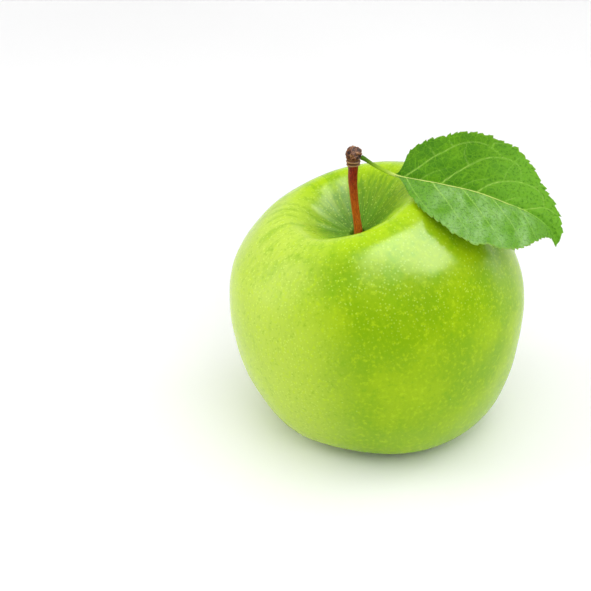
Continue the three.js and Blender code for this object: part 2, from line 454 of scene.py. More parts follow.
SKIN_COLOURS = {
    "dark_green": (0.218, 0.400, 0.002), "light_green": (0.315, 0.495, 0.003),
    "foot": (0.245, 0.430, 0.005), "crest": (0.44, 0.68, 0.002), "painted_lit_side": (0.53, 0.68, 0.10),
    "pale_streak": (0.42, 0.62, 0.008), "dark_streak": (0.15, 0.35, 0.002),
    "crown_patch": (0.18, 0.41, 0.002), "pale_mottle": (0.47, 0.66, 0.01),
    "dark_mottle": (0.16, 0.37, 0.002), "pit_shade_dark": (0.035, 0.150, 0.001),
    "pit_shade_light": (0.15, 0.33, 0.002), "pit_hair": (0.42, 0.60, 0.05),
    "pit_clump": (0.085, 0.270, 0.001), "russet_dark": (0.22, 0.20, 0.02),
    "russet_light": (0.42, 0.42, 0.10), "speck": (0.60, 0.78, 0.11), "dot": (0.62, 0.79, 0.16),
}
LEAF_COLOURS = {
    "dark_green": (0.055, 0.200, 0.001), "light_green": (0.105, 0.290, 0.002),
    "foot": (0.045, 0.165, 0.001), "tip": (0.170, 0.425, 0.030), "front": (0.100, 0.285, 0.010),
    "painted_sheen": (0.280, 0.490, 0.160), "blotch": (0.028, 0.135, 0.001),
    "fine_net": (0.125, 0.36, 0.006), "net": (0.17, 0.42, 0.01), "edge": (0.24, 0.40, 0.02),
    "vein_dark": (0.30, 0.60, 0.06), "vein_light": (0.50, 0.74, 0.14),
    "stalk_foot": (0.06, 0.16, 0.004), "stalk_top": (0.30, 0.50, 0.02), "rib": (0.58, 0.70, 0.17),
    "rib_tip": (0.20, 0.46, 0.04), "underside": (0.30, 0.47, 0.17),
}
STEM_COLOURS = {
    "top_dark": (0.11, 0.006, 0.002), "top_light": (0.29, 0.020, 0.004),
    "foot_dark": (0.36, 0.055, 0.004), "foot_light": (0.64, 0.15, 0.012),
    "pale": (0.55, 0.22, 0.05), "pore": (0.60, 0.32, 0.10), "green_foot": (0.20, 0.24, 0.02),
}
SPUR_COLOURS = {
    "dark": (0.055, 0.014, 0.004), "light": (0.24, 0.09, 0.032), "worn": (0.34, 0.165, 0.065),
    "groove": (0.08, 0.028, 0.008), "ring": (0.30, 0.17, 0.05),
    "collar_patch": (0.24, 0.10, 0.04), "hollow_shade": (0.020, 0.007, 0.005),
}
SEPAL_COLOURS = {
    "dark": (0.26, 0.16, 0.06), "light": (0.62, 0.50, 0.26), "tip": (0.16, 0.08, 0.035),
    "fuzz": (0.74, 0.68, 0.50), "sheen": (0.9, 0.85, 0.7),
}
STAMEN_COLOURS = {
    "dark": (0.10, 0.045, 0.02), "light": (0.30, 0.17, 0.08), "head": (0.05, 0.02, 0.012),
}


def skin_material():
    n = Nodes("apple_skin")
    place = n.position()
    meridian = n.attribute("meridian", "Vector")
    cavity = n.attribute("cavity")
    basin = n.attribute("basin")
    crest = n.attribute("crest")
    height = n.attribute("height")
    painted_lit_side = n.attribute("painted_lit_side")

    broad = n.noise(place, 55, 3, 0.55)
    green, paler = SKIN_COLOURS["dark_green"], SKIN_COLOURS["light_green"]
    colour = n.mix(n.ramp(broad, 0.35, 0.65), green, paler)
    # Painted shade: the skin turns a little darker towards the bottom.
    colour = n.mix(n.ramp(height, 0.45, 0.02, 0.0, 0.75), colour, SKIN_COLOURS["foot"])
    colour = n.mix(n.times(crest, 0.75), colour, SKIN_COLOURS["crest"])
    # Painted light: one side's skin is paler and whiter, standing in for light and sheen falling
    # from there.
    colour = n.mix(n.times(painted_lit_side, 0.65), colour, SKIN_COLOURS["painted_lit_side"])
    streaks = n.noise(n.scaled(meridian, (34, 34, 1.8)), 1.0, 4, 0.6)
    colour = n.mix(n.times(n.ramp(streaks, 0.5, 0.76), 0.18), colour, SKIN_COLOURS["pale_streak"])
    colour = n.mix(n.times(n.ramp(streaks, 0.45, 0.28), 0.16), colour, SKIN_COLOURS["dark_streak"])
    crown = n.ramp(height, 0.66, 0.92)
    patches = n.ramp(n.noise(n.scaled(meridian, (6, 6, 2.2)), 1.0, 4, 0.7), 0.46, 0.66)
    colour = n.mix(n.times(n.times(patches, crown), 0.5), colour, SKIN_COLOURS["crown_patch"])
    mottle = n.noise(place, 900, 3, 0.6)
    colour = n.mix(n.times(n.ramp(mottle, 0.52, 0.7), 0.48), colour, SKIN_COLOURS["pale_mottle"])
    colour = n.mix(n.times(n.ramp(mottle, 0.45, 0.3), 0.40), colour, SKIN_COLOURS["dark_mottle"])
    hairs = n.noise(n.scaled(meridian, (52, 52, 2.4)), 1.0, 3, 0.6)
    # Painted shade: the pit's skin is darkened, most deep in it and on its shaded side; its streaks
    # and pale hairs are the skin's own.
    dark, light = SKIN_COLOURS["pit_shade_dark"], SKIN_COLOURS["pit_shade_light"]
    pit_shade = n.mix(n.ramp(streaks, 0.38, 0.66), dark, light)
    pit_shade = n.mix(n.ramp(hairs, 0.57, 0.74), pit_shade, SKIN_COLOURS["pit_hair"])
    colour = n.mix(n.times(cavity, 0.9), colour, pit_shade)
    clumps = n.ramp(n.noise(n.scaled(meridian, (13, 13, 5)), 1.0, 4, 0.7), 0.46, 0.60)
    clumps = n.times(clumps, n.ramp(cavity, 0.05, 0.4, 0.0, 0.6))
    colour = n.mix(clumps, colour, SKIN_COLOURS["pit_clump"])
    dark, light = SKIN_COLOURS["russet_dark"], SKIN_COLOURS["russet_light"]
    russet = n.mix(n.ramp(streaks, 0.3, 0.7), dark, light)
    colour = n.mix(n.times(basin, 0.6), colour, russet)

    spots = n.voronoi(place, 330)
    chosen = n.voronoi(place, 330, output="Color")
    chance = n.ramp(n.math("ADD", chosen, n.times(crown, 0.10)), 0.77, 0.81)
    sized = n.math("ADD", spots, n.times(chosen, 0.10))
    dots = n.times(n.ramp(sized, 0.165, 0.11), chance)
    dots = n.times(dots, n.ramp(cavity, 0.3, 1.0, 1.0, 0.45))
    specks = n.ramp(n.voronoi(place, 1100), 0.30, 0.16)
    speckled = n.math("MAXIMUM", n.ramp(height, 0.5, 0.95, 0.04, 0.4), n.times(painted_lit_side, 0.6))
    colour = n.mix(n.times(specks, speckled), colour, SKIN_COLOURS["speck"])
    colour = n.mix(n.times(dots, 0.42), colour, SKIN_COLOURS["dot"])

    grain = n.noise(place, 1500, 2, 0.6)
    undulate = n.noise(place, 190, 3, 0.5)
    normal = n.bump(undulate, 0.00020, 0.5)
    normal = n.bump(grain, 0.00003, 0.5, normal)
    normal = n.bump(dots, 0.00003, 0.6, normal)
    gloss = n.ramp(mottle, 0.3, 0.7, 0.20, 0.27)
    dulled = n.math("ADD", gloss, n.times(cavity, 0.45))
    n.set(Base_Color=colour, Roughness=dulled, Normal=normal)
    n.set(IOR=1.45, Specular_IOR_Level=0.14)
    n.set(Subsurface_Weight=0.10, Subsurface_Radius=(0.9, 1.0, 0.25), Subsurface_Scale=0.003)
    return n.material


def leaf_material():
    n = Nodes("leaf_green")
    flat = n.attribute("leaf_place", "Vector")
    vein = n.attribute("vein")
    rib = n.attribute("rib")
    under = n.attribute("underside")
    edge = n.attribute("edge")
    split = n.add("ShaderNodeSeparateXYZ")
    n.link(flat, split.inputs[0])
    along, across = split.outputs[0], split.outputs[1]
    broad = n.noise(flat, 0.16, 3, 0.5)
    green, paler = LEAF_COLOURS["dark_green"], LEAF_COLOURS["light_green"]
    colour = n.mix(n.ramp(broad, 0.35, 0.65), green, paler)
    near_side = n.ramp(across, 0.4, -1.0)  # 1 on the half in front of the midrib
    mid_blade = n.times(n.ramp(along, 5.0, 16.0), n.ramp(along, 44.0, 34.0))
    # Painted sheen: the half in front of the midrib is lighter, with pale bluish patches in the
    # middle of the blade.
    painted_sheen = n.ramp(n.noise(n.scaled(flat, (0.24, 0.13, 1)), 1.0, 2, 0.5), 0.32, 0.74)
    painted_sheen = n.times(painted_sheen, mid_blade)
    colour = n.mix(n.ramp(along, 14.0, 2.0, 0.0, 0.5), colour, LEAF_COLOURS["foot"])
    # Painted sheen: the blade is lighter from its middle towards the tip.
    colour = n.mix(n.ramp(along, 18.0, 32.0, 0.0, 0.7), colour, LEAF_COLOURS["tip"])
    near_half_sheen = n.mix(painted_sheen, LEAF_COLOURS["front"], LEAF_COLOURS["painted_sheen"])
    colour = n.mix(n.times(near_side, 0.9), colour, near_half_sheen)
    net = n.voronoi(flat, 0.55, "DISTANCE_TO_EDGE")
    fine_net = n.voronoi(flat, 1.7, "DISTANCE_TO_EDGE")
    net_line = n.ramp(net, 0.06, 0.0)
    fine_line = n.ramp(fine_net, 0.14, 0.0)
    blotch = n.noise(flat, 1.3, 4, 0.65)
    colour = n.mix(n.times(n.ramp(blotch, 0.52, 0.36), 0.65), colour, LEAF_COLOURS["blotch"])
    colour = n.mix(n.times(fine_line, 0.36), colour, LEAF_COLOURS["fine_net"])
    colour = n.mix(n.times(net_line, 0.45), colour, LEAF_COLOURS["net"])
    colour = n.mix(n.times(edge, 0.6), colour, LEAF_COLOURS["edge"])
    dark, light = LEAF_COLOURS["vein_dark"], LEAF_COLOURS["vein_light"]
    vein_colour = n.mix(n.ramp(n.noise(flat, 0.8), 0.3, 0.7), dark, light)
    colour = n.mix(n.times(vein, 0.9), colour, vein_colour)
    stalk = n.mix(n.ramp(along, -9.0, -3.0), LEAF_COLOURS["stalk_foot"], LEAF_COLOURS["stalk_top"])
    rib_colour = n.mix(n.ramp(along, -3.5, 1.5), stalk, LEAF_COLOURS["rib"])
    rib_colour = n.mix(n.ramp(along, 24.0, 45.0), rib_colour, LEAF_COLOURS["rib_tip"])
    colour = n.mix(rib, colour, rib_colour)
    pale = n.mix(0.6, colour, LEAF_COLOURS["underside"])
    colour = n.mix(under, colour, pale)
    cells = n.math("SUBTRACT", n.ramp(fine_net, 0.0, 0.3), n.times(net_line, 0.6))
    normal = n.bump(cells, 0.00006, 0.6)
    normal = n.bump(n.noise(flat, 9.0, 2), 0.00002, 0.5, normal)
    n.set(Base_Color=colour, Normal=normal)
    n.set(Roughness=n.ramp(near_side, 0, 1, 0.9, 0.34), IOR=1.42, Specular_IOR_Level=0.09)
    n.set(Subsurface_Weight=0.1, Subsurface_Radius=(0.5, 1.0, 0.1), Subsurface_Scale=0.0006)
    return n.material


def stem_material():
    n = Nodes("stem_bark")
    place = n.position()
    strand = n.attribute("strand", "Vector")
    along = n.attribute("along")
    fibres = n.noise(n.scaled(strand, (5, 5, 1.6)), 1.0, 4, 0.6)
    top = n.mix(n.ramp(fibres, 0.35, 0.65), STEM_COLOURS["top_dark"], STEM_COLOURS["top_light"])
    foot = n.mix(n.ramp(fibres, 0.35, 0.65), STEM_COLOURS["foot_dark"], STEM_COLOURS["foot_light"])
    colour = n.mix(n.ramp(along, 0.3, 0.95), foot, top)
    pale = n.ramp(n.noise(place, 1400, 3, 0.6), 0.58, 0.76)
    colour = n.mix(n.times(pale, 0.22), colour, STEM_COLOURS["pale"])
    pores = n.ramp(n.voronoi(place, 1500), 0.20, 0.10)
    colour = n.mix(n.times(pores, 0.3), colour, STEM_COLOURS["pore"])
    colour = n.mix(n.ramp(along, 0.10, 0.0, 0.0, 0.6), colour, STEM_COLOURS["green_foot"])
    normal = n.bump(fibres, 0.00012, 0.7)
    normal = n.bump(n.noise(place, 2500, 2), 0.00004, 0.6, normal)
    n.set(Base_Color=colour, Roughness=n.ramp(fibres, 0.3, 0.7, 0.34, 0.52), Normal=normal)
    n.set(Specular_IOR_Level=0.15)
    return n.material


def spur_material():
    n = Nodes("spur_bark")
    place = n.position()
    hollow_shade = n.attribute("hollow_shade")
    collar = n.attribute("collar")
    ring = n.attribute("ring")
    patches = n.noise(place, 1000, 4, 0.65)
    colour = n.mix(n.ramp(patches, 0.38, 0.62), SPUR_COLOURS["dark"], SPUR_COLOURS["light"])
    colour = n.mix(n.ramp(n.noise(place, 620, 2), 0.56, 0.68), colour, SPUR_COLOURS["worn"])
    banding = n.mix(ring, SPUR_COLOURS["groove"], SPUR_COLOURS["ring"])
    banding = n.mix(n.ramp(patches, 0.42, 0.62, 0.0, 0.5), banding, SPUR_COLOURS["collar_patch"])
    colour = n.mix(collar, colour, banding)
    # Painted shade: the head's sunken places are painted near black.
    colour = n.mix(hollow_shade, colour, SPUR_COLOURS["hollow_shade"])
    normal = n.bump(patches, 0.00016, 0.8)
    normal = n.bump(n.noise(place, 3200, 2), 0.00005, 0.6, normal)
    n.set(Base_Color=colour, Roughness=0.68, Normal=normal, Specular_IOR_Level=0.2)
    return n.material


def sepal_material():
    n = Nodes("dried_sepal")
    place = n.position()
    along = n.attribute("along")
    fibres = n.noise(n.scaled(n.attribute("strand", "Vector"), (6, 6, 0.7)), 1.0, 4, 0.6)
    colour = n.mix(n.ramp(fibres, 0.35, 0.65), SEPAL_COLOURS["dark"], SEPAL_COLOURS["light"])
    colour = n.mix(n.ramp(along, 0.55, 1.0), colour, SEPAL_COLOURS["tip"])
    fuzz = n.ramp(n.noise(place, 2600, 3), 0.55, 0.7)
    colour = n.mix(n.times(fuzz, 0.5), colour, SEPAL_COLOURS["fuzz"])
    n.set(Base_Color=colour, Roughness=0.82, Normal=n.bump(fibres, 0.00012, 0.8))
    n.set(Sheen_Weight=0.35, Sheen_Roughness=0.5, Sheen_Tint=SEPAL_COLOURS["sheen"])
    return n.material


def stamen_material():
    n = Nodes("dried_stamen")
    along = n.attribute("along")
    blotch = n.noise(n.position(), 2500, 3, 0.6)
    colour = n.mix(n.ramp(blotch, 0.35, 0.65), STAMEN_COLOURS["dark"], STAMEN_COLOURS["light"])
    colour = n.mix(n.ramp(along, 0.8, 0.9), colour, STAMEN_COLOURS["head"])
    n.set(Base_Color=colour, Roughness=0.85, Normal=n.bump(blotch, 0.00008, 0.7))
    return n.material


# ---- Fruit ----

CAVITY_SHADE_TOWARDS = math.radians(25)  # the pit's painted shade is darkest on this side
PIT_EDGE_LIT = 14.5  # and the pit's painted shade reaches this far out, or further on the shaded side
PIT_EDGE_SHADY = 20
PAINTED_LIGHT_TOWARDS = math.radians(-165)  # and the skin is painted paler and whiter on this side, as painted light from there
FRUIT_SWELLS = ((0.42, 21, 1), (0.12, 8, 2), (0.03, 3, 3))  # height, width in mm, seed
FOLD_DEPTH = 0.55  # of the wavy folds round the pit
BASE_RIB_DEPTH = 0.28  # of the ribs round the flower basin


def make_fruit():
    around, per_span = 320, 10
    grid, radius, height, turn = fruit_grid(around, per_span)
    rings = len(grid)
    section = np.arange(rings)[:, None] / (rings - 1) + 0 * turn
    upper = section > 0.5
    # Painted shade for the pit: darker deep in it and on its shaded side, lighter on its lit side.
    shady = 0.5 + 0.5 * np.cos(turn - CAVITY_SHADE_TOWARDS)
    pit_edge = mix(PIT_EDGE_LIT, PIT_EDGE_SHADY, shady)
    cavity = np.where(upper, 1 - smoothstep(4, pit_edge, radius), 0)
    sheltered = np.maximum(smoothstep(0.1, 0.7, shady), 1 - smoothstep(5, 11, radius))
    cavity = cavity * mix(0.4, 1, sheltered)
    # Painted light: the side whose skin is painted paler, as if lit from there.
    painted_lit_side = smoothstep(0.3, 0.95, np.cos(turn - PAINTED_LIGHT_TOWARDS)) * smoothstep(3, 20, radius)
    crest = np.where(upper, smoothstep(9, 15, radius) * (1 - smoothstep(18, 29, radius)), 0)
    basin = np.where(~upper, 1 - smoothstep(3, 10.5, radius), 0)

    normal = grid_normals(grid)
    swell = sum(rise * roughen(grid, size, seed) for rise, size, seed in FRUIT_SWELLS)
    edge_free = smoothstep(2.5, 9, radius)
    folds = roughen(np.stack([3.2 * np.cos(turn), 3.2 * np.sin(turn), 0.03 * height], -1), 1.0, 4)
    in_folds = np.where(upper, smoothstep(2.2, 7, radius) * (1 - smoothstep(11, 22, radius)), 0)
    under_folds = np.where(~upper, smoothstep(2.2, 6, radius) * (1 - smoothstep(8, 15, radius)), 0)
    ribs = np.cos(LOBE_COUNT * turn + 0.9) + 0.5 * folds
    move = swell * edge_free + FOLD_DEPTH * folds * in_folds + BASE_RIB_DEPTH * ribs * under_folds
    grid = grid + normal * move[..., None]
    grid[..., 2] = np.maximum(grid[..., 2], 0)  # flat where it rests on the floor

    meridian = np.stack([np.cos(turn), np.sin(turn), height / 10], -1)
    points, faces = closed_rings(grid)
    make_piece(
        "apple_fruit", points, faces, skin_material(), ["fruit"],
        {
            "cavity": closed_values(cavity), "basin": closed_values(basin),
            "crest": closed_values(crest), "height": closed_values(grid[..., 2] / FRUIT_HEIGHT),
            "painted_lit_side": closed_values(painted_lit_side), "meridian": closed_values(meridian),
        },
    )


# ---- Stem and spur stub ----


STRAND_LENGTH = 12  # of the stem, in the units that its fibres are drawn in
FIBRE_STRETCH = np.array([3.0, 3.0, 0.5])


def make_stem():
    around, steps = 56, 190
    route = resample(smooth_curve(STEM_ROUTE, 30), steps)
    run = np.linspace(0, 1, steps)
    radii = even_values(STEM_RADII, run)
    grid, turn, along = tube(route, radii, around, (0, 1, 0))
    axis = grid.mean(1, keepdims=True)
    outward = grid - axis
    strand = np.stack([np.cos(turn), np.sin(turn), along * STRAND_LENGTH], -1)
    ridges = roughen(strand * FIBRE_STRETCH, 1.0, 11)
    lumps = roughen(grid, 1.6, 12) + 0.5 * roughen(grid, 0.6, 13)
    flat_side = 0.05 * np.cos(2 * turn + 2 * along)
    grid = axis + outward * (1 + 0.05 * ridges + 0.05 * lumps + flat_side)[..., None]
    points, faces = closed_rings(grid)
    make_piece(
        "apple_stem", points, faces, stem_material(), ["stem"],
        {"along": closed_values(along), "strand": closed_values(strand)},
    )


def make_spur_stub():
    around, per_span = 96, 10
    section = smooth_curve(STUB_SECTION, per_span)
    turn = np.linspace(0, 2 * math.pi, around, endpoint=False)[None, :]
    radius = np.maximum(section[:, 0], 0)[:, None]
    height = section[:, 1][:, None] + 0 * turn
    swell = 1 + 0.06 * np.cos(3 * turn + 0.4 + height)
    x = radius * swell * np.cos(turn) + STUB_LEAN[0] * height
    y = radius * swell * np.sin(turn) + STUB_LEAN[1] * height
    grid = np.stack([x, y, height], -1)
    head = smoothstep(COLLAR_TOP, 2.6, height)
    ringed = 1 - smoothstep(COLLAR_TOP, 2.3, height)
    ring = np.cos(2 * math.pi * (height - FIRST_RING) / RING_PITCH)
    bumps = roughen(grid, 1.15, 21)
    cracks = np.abs(roughen(grid, 0.8, 22))
    knobs = roughen(grid, 0.55, 23)
    relief = head * (0.42 * bumps + 0.16 * knobs - 0.25 * np.exp(-((cracks / 0.07) ** 2)))
    relief = relief + ringed * (0.10 * ring + 0.06 * knobs)
    outward = grid_normals(grid)
    rounded = smoothstep(0, 0.8, radius)
    grid = grid + outward * (relief * rounded)[..., None] + STUB_FOOT
    # Where the head is sunken, for its painted shade.
    hollow_shade = np.clip(head * smoothstep(0.02, -0.28, relief), 0, 1)
    points, faces = closed_rings(grid)
    make_piece(
        "apple_spur_stub", points, faces, spur_material(), ["spur_stub"],
        {
            "hollow_shade": closed_values(hollow_shade), "collar": closed_values(ringed),
            "ring": closed_values(smoothstep(-0.2, 0.6, ring)),
        },
    )


# ---- Leaf ----


class LeafRoute:
    """The midrib's line, with the level direction across it and the direction up from it."""

    def __init__(self):
        self.line = smooth_curve(LEAF_ROUTE, ROUTE_SPAN)
        self.run = lengths(self.line)
        self.foot = self.run[ROUTE_SPAN] + STALK_LENGTH
        self.tangent = unit(np.gradient(self.line, axis=0))

    def at(self, along):
        """Point, tangent, side and up at a distance along the midrib from the blade's foot."""
        s = np.clip(self.foot + along, 0, self.run[-1])
        past = (self.foot + along - s)[..., None]
        point = np.stack([np.interp(s, self.run, self.line[:, k]) for k in range(3)], -1)
        tangent = np.stack([np.interp(s, self.run, self.tangent[:, k]) for k in range(3)], -1)
        tangent = unit(tangent)
        side = unit(np.cross(UP, tangent))
        return point + past * tangent, tangent, side, np.cross(tangent, side)


def vein_field(x, y, veins):
    """At leaf points: distance to the nearest vein or the midrib, and how much of a vein it is."""
    here = np.stack([x, y], -1).reshape(-1, 2)
    nearest = np.abs(here[:, 1])
    line = np.zeros(len(here))
    for strength, points in veins:
        path = resample(smooth_curve(points, 12), 60)
        gap = np.linalg.norm(here[:, None] - path[None], axis=-1)
        run = gap.argmin(1) / len(path)
        gap = gap.min(1)
        width = VEIN_WIDTH * (0.7 + 0.5 * strength) * (1.15 - 0.5 * run)
        line = np.maximum(line, strength * (1 - 0.45 * run) * np.exp(-((gap / width) ** 2)))
        nearest = np.minimum(nearest, gap + (1 - strength) * 1.2)
    return nearest.reshape(x.shape), line.reshape(x.shape)


def tooth_offset(line, seed):
    """How the teeth move the points of a smooth edge: saw teeth that lean towards the tip."""
    run = lengths(line)
    tangent = unit(np.gradient(line, axis=0))
    outward = np.stack([-tangent[:, 1], tangent[:, 0]], -1)
    count = run / TOOTH_PITCH + 0.16 * np.sin(run * 0.9 + seed)
    count = count + 0.12 * np.sin(run * 2.3 + 2 * seed)
    phase = count % 1.0
    size = TOOTH_HEIGHT * (0.72 + 0.28 * np.sin(np.floor(count) * 2.4 + seed))
    rise = np.where(phase < 0.8, (phase / 0.8) ** 1.2, (1 - phase) / 0.2)
    small = 0.25 * np.clip(1 - np.abs(phase - 0.38) / 0.12, 0, 1)
    free = smoothstep(2.0, 12.0, run) * smoothstep(0, 6.0, run[-1] - run)
    reach = (rise + small - 0.35) * size * free
    lean = np.where(phase < 0.8, np.clip((phase - 0.45) / 0.35, 0, 1), (1 - phase) / 0.2)
    return outward * reach[:, None] + tangent * (0.4 * size * lean * free)[:, None]


def half_blade(route, edge, veins, is_back, seed):
    """One half of the blade, from the midrib out to the edge.

    It gives the top and bottom grids, how much of a vein and of the rim each point is, and the
    points' places on the flat leaf.
    """
    rows, columns = 340, 48
    line = resample(smooth_curve(edge, 30), rows)
    teeth = tooth_offset(line, seed)
    t = np.linspace(0, 1, rows)
    rib = np.stack([edge[-1][0] * t**1.5, 0 * t], -1)
    share = (np.linspace(0, 1, columns) ** 0.85)[None, :, None]
    plan = rib[:, None] * (1 - share) + line[:, None] * share
    plan = plan + teeth[:, None] * smoothstep(0.84, 1, share)
    x, y = plan[..., 0], plan[..., 1]
    gap, vein = vein_field(x, y, veins)
    out = np.broadcast_to(share[..., 0], x.shape)

    point, tangent, side, up = route.at(x)
    sign = 1 if is_back else -1
    slope = BACK_RISE if is_back else -FRONT_FALL
    angle = (slope * smoothstep(0, 1.2, y))[..., None]
    across = sign * np.cos(angle) * side + np.sin(angle) * up
    normal = unit(np.cross(tangent, across) * sign)
    puff = QUILT_HEIGHT * (1.0 if is_back else FRONT_QUILT)
    quilt = puff * (1 - np.exp(-((gap / QUILT_REACH) ** 2))) * (1 - 0.5 * out**2)
    wave = 0.5 * np.sin(x * 0.42 + 1.3 * seed) * out**2 + 0.26 * np.sin(x * 0.95 + seed) * out**3
    flat = np.stack([x, y * sign, 0 * x], -1)
    small = 0.09 * roughen(flat, 2.2, 31 + seed)
    free = smoothstep(0, 5, edge[-1][0] - x) * smoothstep(-1, 4, x)
    rise = (quilt + wave + small) * free - 0.12 * vein
    middle = point + across * y[..., None] + normal * rise[..., None]
    thick = BLADE_THICKNESS * (1 - 0.45 * smoothstep(0.9, 1.0, out))
    top = middle + normal * (thick / 2)[..., None]
    below = middle - normal * (thick / 2 + VEIN_RIDGE * vein * (1 - 0.6 * out))[..., None]
    return top, below, vein, smoothstep(0.965, 1.0, out), flat


def sheet_faces(rows, columns, start, flip):
    """Quads of an open grid of points, turned over if flip is set."""
    faces = []
    for i in range(rows - 1):
        for j in range(columns - 1):
            a = start + i * columns + j
            quad = (a, a + columns, a + columns + 1, a + 1)
            faces.append(quad[::-1] if flip else quad)
    return faces


def make_leaf():
    route = LeafRoute()
    points, faces = [], []
    marks = {"vein": [], "rib": [], "underside": [], "edge": [], "leaf_place": []}
    halves = ((True, BACK_EDGE, BACK_VEINS, 1), (False, FRONT_EDGE, FRONT_VEINS, 2))
    start = 0
    for is_back, edge, veins, seed in halves:
        top, below, vein, rim, plan = half_blade(route, edge, veins, is_back, seed)
        rows, columns = top.shape[:2]
        count = rows * columns
        faces += sheet_faces(rows, columns, start, not is_back)
        faces += sheet_faces(rows, columns, start + count, is_back)
        for i in range(rows - 1):
            a = start + i * columns + columns - 1
            quad = (a, a + columns, a + columns + count, a + count)
            faces.append(quad if is_back else quad[::-1])
        points += [top.reshape(-1, 3), below.reshape(-1, 3)]
        marks["vein"] += [vein.ravel(), vein.ravel()]
        marks["rib"] += [np.zeros(2 * count)]
        marks["underside"] += [np.zeros(count), np.ones(count)]
        marks["edge"] += [rim.ravel(), rim.ravel()]
        marks["leaf_place"] += [plan.reshape(-1, 3), plan.reshape(-1, 3)]
        start += 2 * count

    steps, around = 260, 20
    length = route.run[-1]
    where = np.linspace(0, length, steps)
    line = np.stack([np.interp(where, route.run, route.line[:, k]) for k in range(3)], -1)
    stalk = 1 - smoothstep(route.foot - 2.5, route.foot + 3, where)
    on_blade = np.clip((where - route.foot) / (length - route.foot), 0, 1)
    rib = mix(RIB_FOOT_RADIUS, RIB_TIP_RADIUS, on_blade**0.7)
    radii = mix(rib, STALK_RADIUS, stalk) * (1 + 0.3 * np.exp(-(((where - 0.2) / 1.2) ** 2)))
    grid, _, along = tube(line, radii, around, UP)
    sink = np.concatenate([np.zeros(END_RINGS), 1 - stalk, np.ones(END_RINGS)])
    size = np.pad(radii, END_RINGS, "edge")
    grid = grid - UP * (sink * (size - RIB_PROUD))[:, None, None]
    tube_points, tube_faces = closed_rings(grid)
    faces += [tuple(start + v for v in face) for face in tube_faces]
    count = len(tube_points)
    points.append(tube_points)
    run_along = closed_values(along) * length - route.foot
    marks["vein"].append(1 - 0.55 * smoothstep(14, 46, run_along))
    marks["rib"].append(np.ones(count))
    marks["underside"].append(np.zeros(count))
    marks["edge"].append(np.zeros(count))
    marks["leaf_place"].append(np.stack([run_along, 0 * run_along, 0 * run_along], -1))
    attributes = {key: np.concatenate(value) for key, value in marks.items()}
    leaf = make_piece(
        "apple_leaf", np.vstack(points), faces, leaf_material(), ["leaf"], attributes
    )
    join_doubles(leaf.data)


def join_doubles(mesh):
    """Joins points that lie in one place and makes the faces point out."""
    work = bmesh.new()
    work.from_mesh(mesh)
    bmesh.ops.remove_doubles(work, verts=work.verts, dist=JOIN_GAP)
    bmesh.ops.recalc_face_normals(work, faces=work.faces)
    work.to_mesh(mesh)
    work.free()
    mesh.update()


# ---- Flower remains ----

BASIN_MIDDLE = np.array([-LEAN * (SEPAL_TOP - FRUIT_HEIGHT / 2), 0, 0])


def make_sepal(index, material):
    turn = index / SEPAL_COUNT * 2 * math.pi + SEPAL_PHASE
    out = np.array([math.cos(turn), math.sin(turn), 0])
    across = np.array([-math.sin(turn), math.cos(turn), 0])
    rows, columns = 44, 20
    t = np.linspace(0, 1, rows)[:, None]
    u = np.linspace(-1, 1, columns)[None, :]
    inward = SEPAL_LEAN_IN * np.sin(t * math.pi * 1.1) + 0.15 * index * t * (1 - t)
    radius = SEPAL_RING - inward + 0.5 * t + 0.35 * t**3 * math.sin(index * 2.1)
    height = SEPAL_TOP - SEPAL_LENGTH * t * (0.86 + 0.03 * index)
    width = SEPAL_HALF_WIDTH * (1 - 0.9 * t**1.5) * (1 + 0.06 * np.sin(9 * t + index))
    twist = 0.5 * (t**2) * math.sin(index * 1.7 + 0.5)
    curl = 0.34 * (u**2) * (1 - t) - 0.25 * u**2 * t
    ripple = 0.07 * np.sin(8 * t + 5 * u + index)
    sideways = width * u * np.cos(twist)
    outwards = radius + curl + ripple + width * u * np.sin(twist)
    middle = out * outwards[..., None] + across * sideways[..., None]
    middle = middle + UP * (height + 0.1 * np.sin(6 * u) * t)[..., None]
    thick = 0.16 * (1 - 0.6 * t) * (1 - 0.6 * u**2) + 0.05 * np.exp(-((u / 0.16) ** 2))
    outer = middle + out * thick[..., None]
    inner = middle - out * thick[..., None]
    count = rows * columns
    faces = sheet_faces(rows, columns, 0, False) + sheet_faces(rows, columns, count, True)
    rim = [i * columns for i in range(rows)]
    rim += [(rows - 1) * columns + j for j in range(1, columns)]
    rim += [i * columns + columns - 1 for i in range(rows - 2, -1, -1)]
    rim += list(range(columns - 2, 0, -1))
    for a, b in zip(rim, rim[1:] + rim[:1]):
        faces.append((a, b, b + count, a + count))
    points = np.vstack([outer.reshape(-1, 3), inner.reshape(-1, 3)])
    points = points + BASIN_MIDDLE
    along = np.tile((t + 0 * u).ravel(), 2)
    strand = np.stack([(u + 0 * t).ravel(), np.zeros(count), (t * 6 + 0 * u).ravel()], -1)
    name = f"sepal_{index + 1}"
    piece = make_piece(
        "apple_" + name, points, faces, material, [name],
        {"along": along, "strand": np.vstack([strand, strand])},
    )
    join_doubles(piece.data)


